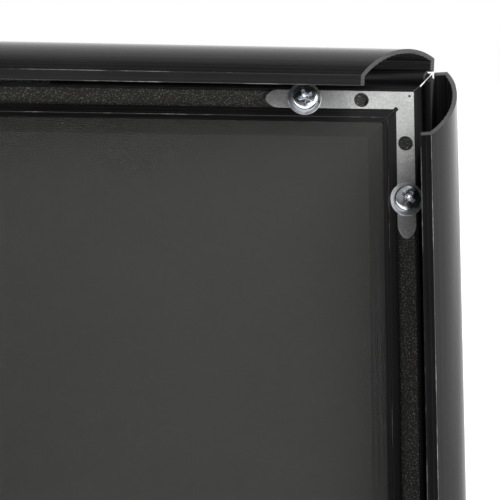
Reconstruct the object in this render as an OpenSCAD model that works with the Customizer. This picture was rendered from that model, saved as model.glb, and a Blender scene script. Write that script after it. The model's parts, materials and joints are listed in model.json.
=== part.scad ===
// Sandwich board: two hinged snap frames for A1 posters.
// Millimetres. X runs across the board, -Y is the side the front frame faces, +Z is up.
// The origin is on the ground, midway between the feet, under the top hinge axis.
//
// Each frame is drawn flat first: X across, Y up the frame, Z towards whoever reads it.
// Rails and covers are drawn as a section: u runs inwards from the outer edge of the
// frame and v runs forwards from the back plane.

/* [Poster] */
// Width of the poster that the frame takes
poster_w = 594; // [420:1:841]
// Height of the poster that the frame takes
poster_h = 841; // [700:1:1189]
// Width of poster edge that the covers hide
poster_bite = 10; // [6:0.5:14]

/* [Stance] */
// Angle that each frame leans from upright
lean = 16; // [12:0.5:20]
// Gap between the backs of the two frames when folded
folded_gap = 24; // [22:1:32]
// Distance from the frame's bottom edge down to the ground, measured at the hinge plane
foot_drop = 22; // [16:1:40]

/* [Snap covers] */
// Width of a cover across the rail
cover_w = 32; // [30:0.5:40]
// Wall of the cover
cover_wall = 1.6; // [1.2:0.1:2.2]
// Outer radius of the cover's curved top
cover_radius = 24; // [22:0.5:34]
// Height of the cover's outer corner above the back plane
cover_outer_v = 10.7; // [10:0.1:13]
// Height of the corner where the curved top meets the lip
cover_lip_v = 7.4; // [6.5:0.1:9]
// Clearance between the closed lip and the clear sheet
lip_clearance = 0.15; // [0.05:0.05:0.5]
// Gap between each cover's mitred end and the mitre plane
cover_mitre_gap = 0.15; // [0.1:0.05:0.6]
// Rest angle of the top and bottom covers of the front frame
top_open = 68; // [30:1:74]
// Rest angle of the side covers of the front frame
side_open = 74; // [30:1:74]

/* [Cover hinge] */
// Distance of the cover's hinge line from the outer edge
hinge_u = 2.4; // [2.2:0.1:3.2]
// Height of the cover's hinge line above the back plane
hinge_v = 4; // [3.9:0.1:5]
// Radius of the round bead that the cover turns on
bead_r = 1.3; // [1:0.05:1.5]
// Radial clearance between the bead and the cover's hook
bead_clearance = 0.1; // [0.05:0.05:0.3]
// Wall of the hook around the bead
hook_wall = 1; // [0.8:0.1:1.3]
// Length by which the hook stops short of each end of the cover
hook_setback = 2.8; // [2.7:0.1:10]

/* [Base rails] */
// Thickness of the rail's back plate
plate_t = 1.2; // [0.8:0.1:1.4]
// Thickness of the channel floor
floor_t = 1.4; // [1.2:0.1:2]
// Distance of the bracket channel from the outer edge
channel_u = 8.1; // [7.5:0.1:10]
// Width of the bracket channel
channel_w = 7; // [6:0.1:9]
// Thickness of the channel's outer wall
channel_wall = 1.2; // [0.8:0.1:1.8]
// Height of the channel walls above the back plane
ridge_v = 3.3; // [3:0.1:5]
// Width of the ridge between the channel and the ledge
ridge_w = 3.25; // [2:0.05:5]
// Width of the ledge that the clear sheet lies on
ledge_w = 7.55; // [6:0.05:10]
// Thickness of the ledge
ledge_t = 0.9; // [0.7:0.1:1.2]
// Gap between each rail's mitred end and the mitre plane
rail_mitre_gap = 0.4; // [0.1:0.05:0.5]

/* [Panel and sheet] */
// Thickness of the back panel
panel_t = 1; // [0.8:0.1:1.4]
// Thickness of the clear sheet
sheet_t = 0.5; // [0.3:0.05:0.8]
// Distance of the clear sheet's edge from the outer edge of the frame
sheet_inset = 20.3; // [19:0.1:22]
// Clearance of the back panel in its groove
panel_clearance = 0.05; // [0.02:0.01:0.2]

/* [Corner brackets] */
// Thickness of the corner bracket
bracket_t = 2; // [1.5:0.1:3]
// Side clearance of the bracket in its channel
bracket_clearance = 0.05; // [0.05:0.05:0.4]
// Distance from the crossing of the arms to the tip of an arm
bracket_arm = 52.5; // [50:0.5:80]
// Distance from the crossing of the arms to the open hole
bracket_hole_at = 16.5; // [14:0.5:22]
// Distance from the crossing of the arms to the screw
bracket_screw_at = 38; // [36:0.5:44]
// Diameter of the open holes
bracket_hole_d = 5.5; // [4:0.1:6]

/* [Screws and washers] */
// Shank diameter of the bracket screws
screw_d = 4.9; // [4:0.1:5]
// Radial clearance around a screw shank
screw_clearance = 0.05; // [0.03:0.01:0.3]
// Head diameter of the bracket screws
screw_head_d = 9.8; // [8:0.1:10.5]
// Height of the straight part of the head
screw_head_side = 1.6; // [1:0.1:2]
// Radius of the domed top of the head
screw_dome_r = 10; // [8:0.5:14]
// Diameter of the washers
washer_d = 12.6; // [11:0.1:12.8]
// Thickness of the washers
washer_t = 1; // [0.8:0.1:1.6]

/* [Top hinge] */
// Distance of each hinge from the middle of the board
top_hinge_x = 125; // [80:1:150]
// Length of a hinge plate across the board
hinge_plate_w = 62; // [50:1:80]
// Thickness of plates and ears
steel_t = 2; // [1.5:0.1:2.5]
// Thickness of a hinge ear
ear_t = 3; // [2:0.1:4]
// Radius of a hinge ear around its pin
ear_r = 8; // [7:0.1:9]
// Diameter of the hinge pins and of the stays' pins
pin_d = 6; // [4:0.1:7]
// Radial clearance around a pin
pin_clearance = 0.08; // [0.05:0.01:0.2]

/* [Stays] */
// Distance from the top hinge axis to a stay's pivot on the front frame
stay_pivot_at = 560; // [480:1:600]
// Distance from the top hinge axis to the peg on the rear frame
stay_peg_at = 585; // [506:1:626]
// Width of a stay bar
stay_w = 16; // [14:0.5:18]
// Thickness of a stay bar
stay_t = 3; // [2:0.1:4]
// Clearance of the peg in the stay's notch
notch_clearance = 0.3; // [0.15:0.05:0.6]
// Angle of the notch from square to the bar
notch_angle = 31; // [29:0.5:33]
// Side gap between a stay bar and the ears beside it
stay_side_gap = 0.3; // [0.2:0.05:0.6]

/* [Feet] */
// Length of a foot across the board
foot_w = 70; // [50:1:100]
// Depth of the foot behind the frame
foot_back = 11; // [8:0.5:11.5]
// Depth of the toe in front of the back plane
foot_toe = 14; // [10:0.5:18]
// Height of the foot behind the frame
foot_rise = 28; // [24:0.5:40]
// Gap between the frame's bottom edge and the toe, which the open cover swings through
toe_gap = 8; // [7:0.5:12]

/* [Hidden] */
$fn = 64;

// Frame size
frame_w = poster_w - 2 * poster_bite + 2 * cover_w;
frame_h = poster_h - 2 * poster_bite + 2 * cover_w;
axis_v = -folded_gap / 2;
axis_z = (frame_h + foot_drop) * cos(lean);

// Rails by number: 0 bottom, 1 right, 2 top, 3 left, going round the frame
BOTTOM = 0;
RIGHT = 1;
TOP = 2;
LEFT = 3;
function rail_length(side) = side % 2 == 0 ? frame_w : frame_h;
function rail_offset(side) = side % 2 == 0 ? frame_h / 2 : frame_w / 2;
function open_angle(side) = side % 2 == 0 ? top_open : side_open;

// Section of the base rail
channel_end = channel_u + channel_w;
channel_mid = channel_u + channel_w / 2;
ridge_end = channel_end + ridge_w;
base_w = ridge_end + ledge_w;
groove_wall = 0.85;
groove_u = ridge_end + groove_wall;
groove_v = ridge_v - sheet_t - ledge_t - panel_t - 2 * panel_clearance;
groove_top = ridge_v - sheet_t - ledge_t;
ledge_v = ridge_v - sheet_t;
flange_short = 1.5;
panel_end_gap = 0.2;
plate_start = 1;
stem_angle = -60;
stem_t = 1;
stem_length = 3.6;

// Section of the cover
hook_r = bead_r + bead_clearance + hook_wall;
hook_from = -32;
hook_to = 200;
lip_tip_v = ridge_v + lip_clearance;
cover_chord = [cover_w, cover_lip_v - cover_outer_v];
cover_half_chord = norm(cover_chord) / 2;
cover_sink = sqrt(cover_radius * cover_radius - cover_half_chord * cover_half_chord);
cover_centre = [0, cover_outer_v] + cover_chord / 2
    + cover_sink / norm(cover_chord) * [cover_chord[1], -cover_chord[0]];
corner_bite = cover_wall / 4;
rib_angles = [60, 75, 90, 105, 120];
rib_h = 0.6;
rib_w = 0.7;
hook_clear_v = hinge_v + 0.75 * hook_r;

// Snap springs
spring_t = 0.4;
spring_length = 30;
spring_u = channel_u - channel_wall - 0.05;
spring_top = 6;
spring_curl_r = 1.3;
spring_foot = 1.85;

// Screws through brackets
bracket_v = floor_t + bracket_t;
arm_w = channel_w - 2 * bracket_clearance;
tip_r = 6;
nose_r = 2.3;
screw_hole_r = screw_d / 2 + screw_clearance;
screw_end_v = 0.2;
recess_w = 1.1;
recess_l = 5.4;
recess_depth = 1.8;

// Rivets
rivet_d = 4;
rivet_head_d = 7.5;
rivet_head_h = 1.3;
rivet_tail_h = 0.8;
hinge_rivet_x = 24;
plate_u0 = 3;
plate_u1 = 23;

// Top hinge, seen along the axis
ear_gap = 0.35;
rear_ear_x = 5.7;
front_ear_x = rear_ear_x + ear_t + ear_gap;
pin_head_h = 1.5;
pin_head_d = pin_d + 3.5;

// Stays
stay_ear_out = 0.5;
stay_ear_x = frame_w / 2 + stay_ear_out;
stay_bar_x = stay_ear_x + steel_t + stay_side_gap;
stay_ear_r = stay_w / 2;
stay_plate_u = 20;
stay_rivet_s = 14;
stay_plate_half = 22;
stay_run = stay_pivot_at * sin(lean) + stay_peg_at * sin(lean);
stay_fall = (stay_peg_at - stay_pivot_at) * cos(lean);
stay_length = norm([stay_run, stay_fall]);
stay_slope = atan2(stay_fall, stay_run);

// Feet
foot_screw_x = [-22, 15];
foot_screw_d = 4;
foot_head_d = 8.4;
foot_head_h = 2.4;
foot_head_gap = 0.4;
foot_recess = 3;
foot_screw_rise = channel_mid;

BLACK = [0.13, 0.13, 0.13];
PANEL = [0.27, 0.27, 0.26];
CLEAR = [0.8, 0.85, 0.88, 0.3];
ZINC = [0.7, 0.71, 0.72];
RUBBER = [0.08, 0.08, 0.08];

// ---------------------------------------------------------------- placing

// Puts a flat frame drawing at its lean, facing -Y
module front_frame() {
    translate([0, 0, axis_z])
        rotate([-lean, 0, 0])
            translate([0, axis_v, -frame_h / 2])
                rotate([90, 0, 0])
                    children();
}

// The rear frame is the same drawing turned about the middle of the board
module rear_frame() {
    rotate([0, 0, 180])
        front_frame()
            children();
}

// Puts a rail, drawn along X with its outer edge at Y = 0, on one side of the frame
module on_side(side) {
    rotate([0, 0, 90 * side])
        translate([0, -rail_offset(side), 0])
            children();
}

// Puts a corner piece, drawn with its outer corner at the origin, on all four corners
module on_corners() {
    for (corner = [0 : 3])
        rotate([0, 0, 90 * corner])
            translate([-rail_length(corner) / 2, -rail_offset(corner), 0])
                children();
}

// Turns a closed cover about its hinge line
module opened(angle) {
    translate([0, hinge_u, hinge_v])
        rotate([angle, 0, 0])
            translate([0, -hinge_u, -hinge_v])
                children();
}

// Extrudes a u, v section along X
module along_rail(length) {
    rotate([90, 0, 90])
        linear_extrude(height = length, center = true)
            children();
}

// Plan of a rail with both ends cut at 45 degrees, a gap short of the mitre planes
module mitred(length, gap) {
    reach = cover_w + 2;
    intersection() {
        children();
        translate([0, 0, -1])
            linear_extrude(height = cover_outer_v + cover_radius)
                polygon([
                    [-length / 2 - 1 + gap, -1],
                    [length / 2 + 1 - gap, -1],
                    [length / 2 - reach - gap, reach],
                    [-length / 2 + reach + gap, reach]
                ]);
    }
}

// ---------------------------------------------------------------- base rail

module base_section() {
    polygon([
        [plate_start, 0],
        [base_w - flange_short, 0],
        [base_w - flange_short, groove_v],
        [groove_u, groove_v],
        [groove_u, groove_top],
        [base_w, groove_top],
        [base_w, ledge_v],
        [ridge_end, ledge_v],
        [ridge_end, ridge_v],
        [channel_end, ridge_v],
        [channel_end, floor_t],
        [channel_u, floor_t],
        [channel_u, ridge_v],
        [channel_u - channel_wall, ridge_v],
        [channel_u - channel_wall, plate_t],
        [plate_start, plate_t]
    ]);
    translate([hinge_u, hinge_v]) {
        circle(r = bead_r);
        rotate(stem_angle)
            translate([0, -stem_t / 2])
                square([stem_length, stem_t]);
    }
}

// Hole through the channel floor, at a distance along the rail from its middle
module floor_hole(x, r) {
    translate([x, channel_mid, -1])
        cylinder(r = r, h = floor_t + 2);
}

module rail(side, rear_hole_x = []) {
    screw_x = rail_length(side) / 2 - channel_mid - bracket_screw_at;
    color(BLACK)
        on_side(side)
            difference() {
                mitred(rail_length(side), rail_mitre_gap)
                    along_rail(rail_length(side))
                        base_section();
                for (x = [-screw_x, screw_x])
                    floor_hole(x, screw_hole_r);
                for (x = rear_hole_x)
                    floor_hole(x, rivet_d / 2 + screw_clearance);
            }
}

// ---------------------------------------------------------------- cover

// A pie slice used to open the hook, from one angle to another
module slice(from, to, r) {
    middle = (from + to) / 2;
    polygon([
        [0, 0],
        r * [cos(from), sin(from)],
        r * [cos(middle), sin(middle)],
        r * [cos(to), sin(to)]
    ]);
}

module hook_section() {
    translate([hinge_u, hinge_v])
        difference() {
            circle(r = hook_r);
            slice(hook_to, hook_from + 360, 3 * hook_r);
        }
}

module cover_shell_section() {
    intersection() {
        difference() {
            translate(cover_centre)
                circle(r = cover_radius, $fn = 180);
            translate(cover_centre)
                circle(r = cover_radius - cover_wall, $fn = 180);
        }
        square([cover_w, cover_outer_v + cover_radius]);
    }
    translate([cover_w - cover_wall, lip_tip_v])
        square([cover_wall, cover_lip_v - corner_bite - lip_tip_v]);
    for (angle = rib_angles)
        translate(cover_centre)
            rotate(angle)
                translate([cover_radius - cover_wall - rib_h, -rib_w / 2])
                    square([rib_h + cover_wall / 2, rib_w]);
}

module cover_section() {
    difference() {
        union() {
            cover_shell_section();
            hook_section();
            translate([0, hinge_v])
                square([cover_wall, cover_outer_v - corner_bite - hinge_v]);
        }
        translate([hinge_u, hinge_v])
            circle(r = bead_r + bead_clearance);
    }
}

module cover(side, angle) {
    length = rail_length(side);
    color(BLACK)
        on_side(side)
            opened(angle)
                difference() {
                    mitred(length, cover_mitre_gap)
                        along_rail(length)
                            cover_section();
                    for (end = [-1, 1])
                        translate([end * length / 2 - hook_setback, -1, -1])
                            cube([2 * hook_setback, hinge_u + hook_r + 2, hook_clear_v + 1]);
                }
}

// ---------------------------------------------------------------- panel and sheet

module back_panel() {
    inset = groove_u + panel_end_gap;
    color(PANEL)
        translate([inset - frame_w / 2, inset - frame_h / 2, groove_v + panel_clearance])
            cube([frame_w - 2 * inset, frame_h - 2 * inset, panel_t]);
}

module clear_sheet() {
    color(CLEAR)
        translate([sheet_inset - frame_w / 2, sheet_inset - frame_h / 2, ledge_v])
            cube([frame_w - 2 * sheet_inset, frame_h - 2 * sheet_inset, sheet_t]);
}

// ---------------------------------------------------------------- corner brackets

// One arm along X from the crossing of the arms: two side arcs run into a round nose
module arm_outline() {
    arc_drop = tip_r - arm_w / 2;
    nose_back = sqrt((tip_r - nose_r) * (tip_r - nose_r) - arc_drop * arc_drop);
    straight = bracket_arm - nose_r - nose_back;
    arc_run = nose_back * tip_r / (tip_r - nose_r);
    translate([-arm_w / 2, -arm_w / 2])
        square([straight + arm_w / 2, arm_w]);
    translate([straight + nose_back, 0])
        circle(r = nose_r);
    intersection() {
        translate([straight, -arc_drop])
            circle(r = tip_r);
        translate([straight, arc_drop])
            circle(r = tip_r);
        translate([straight - 0.01, -arm_w])
            square([arc_run, 2 * arm_w]);
    }
}

// Turns and moves children to a point along each arm
module on_arms(distance) {
    for (turn = [0, 90])
        translate([channel_mid, channel_mid])
            rotate([0, 0, turn])
                translate([distance, 0, 0])
                    children();
}

module corner_brackets() {
    corner_relief_r = 0.8;
    punch_r = 0.4;
    punch_in = 1.7;
    color(ZINC)
        on_corners()
            translate([0, 0, floor_t])
                difference() {
                    linear_extrude(height = bracket_t)
                        on_arms(0)
                            arm_outline();
                    on_arms(bracket_hole_at)
                        translate([0, 0, -1])
                            cylinder(d = bracket_hole_d, h = bracket_t + 2);
                    on_arms(bracket_screw_at)
                        translate([0, 0, -1])
                            cylinder(r = screw_hole_r, h = bracket_t + 2);
                    translate([channel_mid + arm_w / 2, channel_mid + arm_w / 2, -1])
                        cylinder(r = corner_relief_r, h = bracket_t + 2);
                    translate([channel_mid - arm_w / 2 + punch_in,
                               channel_mid - arm_w / 2 + punch_in, -1])
                        cylinder(r = punch_r, h = bracket_t + 2);
                }
}

module cross_recess() {
    for (turn = [0, 90])
        rotate([0, 0, turn])
            translate([-recess_l / 2, -recess_w / 2, -recess_depth])
                cube([recess_l, recess_w, recess_depth + 1]);
}

module pan_screw(shank_length) {
    dome_h = screw_dome_r - sqrt(screw_dome_r * screw_dome_r - screw_head_d * screw_head_d / 4);
    translate([0, 0, -shank_length])
        cylinder(d = screw_d, h = shank_length + 0.5);
    difference() {
        intersection() {
            cylinder(d = screw_head_d, h = screw_head_side + dome_h);
            translate([0, 0, screw_head_side + dome_h - screw_dome_r])
                sphere(r = screw_dome_r);
        }
        translate([0, 0, screw_head_side + dome_h])
            cross_recess();
    }
}

module bracket_screws() {
    seat_v = bracket_v + washer_t;
    color(ZINC)
        on_corners()
            on_arms(bracket_screw_at)
                translate([0, 0, seat_v])
                    pan_screw(seat_v - screw_end_v);
}

module bracket_washers() {
    color(ZINC)
        on_corners()
            on_arms(bracket_screw_at)
                translate([0, 0, bracket_v])
                    difference() {
                        cylinder(d = washer_d, h = washer_t);
                        translate([0, 0, -1])
                            cylinder(r = screw_hole_r, h = washer_t + 2);
                    }
}

// ---------------------------------------------------------------- snap springs

module spring_section() {
    translate([spring_u - spring_t, plate_t])
        square([spring_t, spring_top - plate_t]);
    translate([spring_u - spring_foot, plate_t])
        square([spring_foot, spring_t]);
    intersection() {
        translate([spring_u - spring_curl_r, spring_top])
            difference() {
                circle(r = spring_curl_r);
                circle(r = spring_curl_r - spring_t);
            }
        translate([spring_u - 3 * spring_curl_r, spring_top - 0.01])
            square([4 * spring_curl_r, 2 * spring_curl_r]);
    }
}

module snap_springs() {
    color(ZINC)
        for (side = [BOTTOM, RIGHT, TOP, LEFT])
            on_side(side)
                for (end = [-1, 1])
                    translate([end * rail_length(side) / 4, 0, 0])
                        along_rail(spring_length)
                            spring_section();
}

// ---------------------------------------------------------------- rivets and pins

// A rivet from a head at v = back to a tail in the channel, its axis along v
module rivet(back) {
    translate([0, 0, back])
        cylinder(d = rivet_d, h = floor_t - back);
    translate([0, 0, back - rivet_head_h])
        cylinder(d1 = rivet_head_d - 1.6, d2 = rivet_head_d, h = rivet_head_h);
    translate([0, 0, floor_t])
        cylinder(d = rivet_d + 2, h = rivet_tail_h);
}

// A pin along X with a flat head at each end
module headed_pin(length) {
    rotate([0, 90, 0]) {
        cylinder(d = pin_d, h = length, center = true);
        for (end = [-1, 1])
            translate([0, 0, end * (length / 2 + pin_head_h / 2)])
                cylinder(d = pin_head_d, h = pin_head_h, center = true);
    }
}

// ---------------------------------------------------------------- top hinge

// Ear square to X, from the plate behind the top rail up to the pin
module hinge_ear(x, clearance) {
    top_y = frame_h / 2;
    translate([x, 0, 0])
        rotate([90, 0, 90])
            linear_extrude(height = ear_t)
                difference() {
                    union() {
                        translate([top_y, axis_v])
                            circle(r = ear_r);
                        polygon([
                            [top_y - plate_u0, -steel_t / 2],
                            [top_y - plate_u1, -steel_t / 2],
                            [top_y - plate_u1, -steel_t - 3],
                            [top_y - ear_r * 0.7, axis_v - ear_r * 0.7],
                            [top_y + ear_r * 0.8, axis_v + ear_r * 0.6]
                        ]);
                    }
                    translate([top_y, axis_v])
                        circle(d = pin_d + 2 * clearance);
                }
}

module hinge_plates(ear_x) {
    color(ZINC)
        for (hinge = [-1, 1])
            translate([hinge * top_hinge_x, 0, 0]) {
                difference() {
                    translate([-hinge_plate_w / 2, frame_h / 2 - plate_u1, -steel_t])
                        cube([hinge_plate_w, plate_u1 - plate_u0, steel_t]);
                    for (x = [-hinge_rivet_x, hinge_rivet_x])
                        translate([x, frame_h / 2 - channel_mid, -steel_t - 1])
                            cylinder(d = rivet_d + 2 * screw_clearance, h = steel_t + 2);
                }
                hinge_ear(ear_x, pin_clearance);
                hinge_ear(-ear_x - ear_t, pin_clearance);
            }
}

module hinge_rivets() {
    color(ZINC)
        for (hinge = [-1, 1])
            for (x = [-hinge_rivet_x, hinge_rivet_x])
                translate([hinge * top_hinge_x + x, frame_h / 2 - channel_mid, 0])
                    rivet(-steel_t);
}

module hinge_pins() {
    color(ZINC)
        for (hinge = [-1, 1])
            translate([hinge * top_hinge_x, frame_h / 2, axis_v])
                headed_pin(2 * (front_ear_x + ear_t));
}

// ---------------------------------------------------------------- stays

// Both sides of the frame, from a drawing of the right-hand side
module both_sides() {
    children();
    mirror([1, 0, 0])
        children();
}

// Bracket behind a side rail, with an ear outside the rail for a pin
module stay_brackets(pin_at) {
    pin_y = frame_h / 2 - pin_at;
    color(ZINC)
        both_sides() {
            difference() {
                translate([frame_w / 2 - stay_plate_u, pin_y - stay_plate_half, -steel_t])
                    cube([stay_plate_u + stay_ear_out + steel_t, 2 * stay_plate_half, steel_t]);
                for (y = [-stay_rivet_s, stay_rivet_s])
                    translate([frame_w / 2 - channel_mid, pin_y + y, -steel_t - 1])
                        cylinder(d = rivet_d + 2 * screw_clearance, h = steel_t + 2);
            }
            translate([stay_ear_x, 0, 0])
                rotate([90, 0, 90])
                    linear_extrude(height = steel_t)
                        difference() {
                            union() {
                                translate([pin_y, axis_v])
                                    circle(r = stay_ear_r);
                                translate([pin_y - stay_ear_r, axis_v])
                                    square([2 * stay_ear_r, -axis_v - steel_t / 2]);
                            }
                            translate([pin_y, axis_v])
                                circle(d = pin_d + 2 * pin_clearance);
                        }
        }
}

module stay_rivets(pin_at) {
    color(ZINC)
        both_sides()
            for (y = [-stay_rivet_s, stay_rivet_s])
                translate([frame_w / 2 - channel_mid, frame_h / 2 - pin_at + y, 0])
                    rivet(-steel_t);
}

// Headed pins through the ears, long enough to hold the bar as well
module stay_pins(pin_at) {
    inner = stay_ear_x;
    outer = stay_bar_x + stay_t + stay_side_gap;
    color(ZINC)
        both_sides()
            translate([(inner + outer) / 2, frame_h / 2 - pin_at, axis_v])
                headed_pin(outer - inner);
}

// Stay bar along Y from its pivot at the origin, in the plane square to X
module stay_outline() {
    difference() {
        union() {
            circle(r = stay_w / 2);
            translate([0, -stay_w / 2])
                square([stay_length, stay_w]);
            translate([stay_length, 0])
                circle(r = stay_w / 2);
        }
        circle(d = pin_d + 2 * pin_clearance);
        translate([stay_length, 0]) {
            circle(d = pin_d + 2 * notch_clearance);
            rotate(-90 - notch_angle)
                translate([0, -pin_d / 2 - notch_clearance])
                    square([2 * stay_w, pin_d + 2 * notch_clearance]);
        }
    }
}

module stay_bar() {
    color(ZINC)
        translate([stay_bar_x, -stay_pivot_at * sin(lean), axis_z - stay_pivot_at * cos(lean)])
            rotate([-stay_slope, 0, 0])
                rotate([90, 0, 90])
                    linear_extrude(height = stay_t)
                        stay_outline();
}

// ---------------------------------------------------------------- feet

// Height in the frame of the ground under a point at v, below the frame's bottom edge
function ground_below(v) = foot_drop + (v - axis_v) * tan(lean);

module feet() {
    bottom = -frame_h / 2;
    color(RUBBER)
        both_sides()
            difference() {
                translate([frame_w / 2 - foot_w, 0, 0])
                    rotate([90, 0, 90])
                        linear_extrude(height = foot_w)
                            polygon([
                                [bottom + foot_rise, -foot_back],
                                [bottom + foot_rise, 0],
                                [bottom - toe_gap, 0],
                                [bottom - toe_gap, foot_toe],
                                [bottom - ground_below(foot_toe), foot_toe],
                                [bottom - ground_below(-foot_back), -foot_back]
                            ]);
                foot_screw_places()
                    translate([0, 0, -foot_back - 1])
                        cylinder(d = foot_screw_d + 2 * screw_clearance, h = foot_back + 2);
                foot_screw_places()
                    translate([0, 0, -foot_back - 1])
                        cylinder(d = foot_head_d + foot_head_gap, h = foot_recess + 1);
            }
}

module foot_screw_places() {
    for (x = foot_screw_x)
        translate([frame_w / 2 - foot_w / 2 + x, -frame_h / 2 + foot_screw_rise, 0])
            children();
}

module foot_screws() {
    head_v = -foot_back + foot_recess;
    color(ZINC)
        both_sides()
            foot_screw_places()
                translate([0, 0, head_v]) {
                    cylinder(d = foot_screw_d, h = floor_t - head_v);
                    translate([0, 0, -foot_head_h])
                        cylinder(d = foot_head_d, h = foot_head_h);
                }
}

// Places along a rail, from its middle, of the rivets and screws that come from behind
hinge_hole_x = [for (hinge = [-1, 1], x = [-hinge_rivet_x, hinge_rivet_x]) hinge * top_hinge_x + x];
foot_hole_x = [for (end = [-1, 1], x = foot_screw_x) end * (frame_w / 2 - foot_w / 2 + x)];
function stay_hole_x(pin_at) = [for (y = [-stay_rivet_s, stay_rivet_s]) frame_h / 2 - pin_at + y];
function reversed(list) = [for (x = list) -x];

// ---------------------------------------------------------------- front frame

module front_top_rail() { front_frame() rail(TOP, hinge_hole_x); }
module front_bottom_rail() { front_frame() rail(BOTTOM, foot_hole_x); }
module front_left_rail() { front_frame() rail(LEFT, reversed(stay_hole_x(stay_pivot_at))); }
module front_right_rail() { front_frame() rail(RIGHT, stay_hole_x(stay_pivot_at)); }
module front_top_cover() { front_frame() cover(TOP, open_angle(TOP)); }
module front_bottom_cover() { front_frame() cover(BOTTOM, open_angle(BOTTOM)); }
module front_left_cover() { front_frame() cover(LEFT, open_angle(LEFT)); }
module front_right_cover() { front_frame() cover(RIGHT, open_angle(RIGHT)); }
module front_back_panel() { front_frame() back_panel(); }
module front_clear_sheet() { front_frame() clear_sheet(); }
module front_corner_brackets() { front_frame() corner_brackets(); }
module front_bracket_screws() { front_frame() bracket_screws(); }
module front_bracket_washers() { front_frame() bracket_washers(); }
module front_snap_springs() { front_frame() snap_springs(); }
module front_feet() { front_frame() feet(); }
module front_foot_screws() { front_frame() foot_screws(); }
module front_hinge_plates() { front_frame() hinge_plates(front_ear_x); }
module front_hinge_rivets() { front_frame() hinge_rivets(); }
module front_stay_brackets() { front_frame() stay_brackets(stay_pivot_at); }
module front_stay_rivets() { front_frame() stay_rivets(stay_pivot_at); }
module front_stay_pivots() { front_frame() stay_pins(stay_pivot_at); }

// ---------------------------------------------------------------- rear frame

module rear_top_rail() { rear_frame() rail(TOP, hinge_hole_x); }
module rear_bottom_rail() { rear_frame() rail(BOTTOM, foot_hole_x); }
module rear_left_rail() { rear_frame() rail(LEFT, reversed(stay_hole_x(stay_peg_at))); }
module rear_right_rail() { rear_frame() rail(RIGHT, stay_hole_x(stay_peg_at)); }
module rear_top_cover() { rear_frame() cover(TOP, 0); }
module rear_bottom_cover() { rear_frame() cover(BOTTOM, 0); }
module rear_left_cover() { rear_frame() cover(LEFT, 0); }
module rear_right_cover() { rear_frame() cover(RIGHT, 0); }
module rear_back_panel() { rear_frame() back_panel(); }
module rear_clear_sheet() { rear_frame() clear_sheet(); }
module rear_corner_brackets() { rear_frame() corner_brackets(); }
module rear_bracket_screws() { rear_frame() bracket_screws(); }
module rear_bracket_washers() { rear_frame() bracket_washers(); }
module rear_snap_springs() { rear_frame() snap_springs(); }
module rear_feet() { rear_frame() feet(); }
module rear_foot_screws() { rear_frame() foot_screws(); }
module rear_hinge_plates() { rear_frame() hinge_plates(rear_ear_x); }
module rear_hinge_rivets() { rear_frame() hinge_rivets(); }
module rear_stay_brackets() { rear_frame() stay_brackets(stay_peg_at); }
module rear_stay_rivets() { rear_frame() stay_rivets(stay_peg_at); }
module rear_stay_pegs() { rear_frame() stay_pins(stay_peg_at); }

// ---------------------------------------------------------------- between the frames

module top_hinge_pins() { front_frame() hinge_pins(); }
module left_stay_bar() { mirror([1, 0, 0]) stay_bar(); }
module right_stay_bar() { stay_bar(); }

front_top_rail();
front_bottom_rail();
front_left_rail();
front_right_rail();
front_top_cover();
front_bottom_cover();
front_left_cover();
front_right_cover();
front_back_panel();
front_clear_sheet();
front_corner_brackets();
front_bracket_screws();
front_bracket_washers();
front_snap_springs();
front_feet();
front_foot_screws();
front_hinge_plates();
front_hinge_rivets();
front_stay_brackets();
front_stay_rivets();
front_stay_pivots();
rear_top_rail();
rear_bottom_rail();
rear_left_rail();
rear_right_rail();
rear_top_cover();
rear_bottom_cover();
rear_left_cover();
rear_right_cover();
rear_back_panel();
rear_clear_sheet();
rear_corner_brackets();
rear_bracket_screws();
rear_bracket_washers();
rear_snap_springs();
rear_feet();
rear_foot_screws();
rear_hinge_plates();
rear_hinge_rivets();
rear_stay_brackets();
rear_stay_rivets();
rear_stay_pegs();
top_hinge_pins();  // hinge_pins
left_stay_bar();
right_stay_bar();
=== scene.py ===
"""Looks for the sandwich board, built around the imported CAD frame.

Rails, covers, brackets, screws and washers are drawn here in full detail, in millimetres and in
the local axes of the rail or corner that they belong to, and stand for the plainer CAD solids.
A section's u runs inwards from the outer edge of the frame and its v forwards from the back plane.
"""

import json
import math

import bmesh
import bpy
from mathutils import Euler, Matrix, Vector
from mathutils.geometry import tessellate_polygon


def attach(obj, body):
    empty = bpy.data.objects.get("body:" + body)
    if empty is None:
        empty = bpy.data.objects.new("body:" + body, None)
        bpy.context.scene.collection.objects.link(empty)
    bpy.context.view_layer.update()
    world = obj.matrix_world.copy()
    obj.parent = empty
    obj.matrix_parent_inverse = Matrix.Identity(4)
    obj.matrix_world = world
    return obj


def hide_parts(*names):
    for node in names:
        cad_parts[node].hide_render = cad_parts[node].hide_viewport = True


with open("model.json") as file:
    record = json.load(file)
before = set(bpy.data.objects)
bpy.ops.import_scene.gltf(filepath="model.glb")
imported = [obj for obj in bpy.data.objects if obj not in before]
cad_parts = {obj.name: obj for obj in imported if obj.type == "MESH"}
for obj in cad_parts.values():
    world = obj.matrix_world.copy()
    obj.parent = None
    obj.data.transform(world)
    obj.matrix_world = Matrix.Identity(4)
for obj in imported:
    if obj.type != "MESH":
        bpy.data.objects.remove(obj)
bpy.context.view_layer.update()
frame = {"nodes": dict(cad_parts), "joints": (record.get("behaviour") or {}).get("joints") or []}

MM = 0.001
FACES = ("front", "rear")
SIDES = ("bottom", "right", "top", "left")

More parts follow.
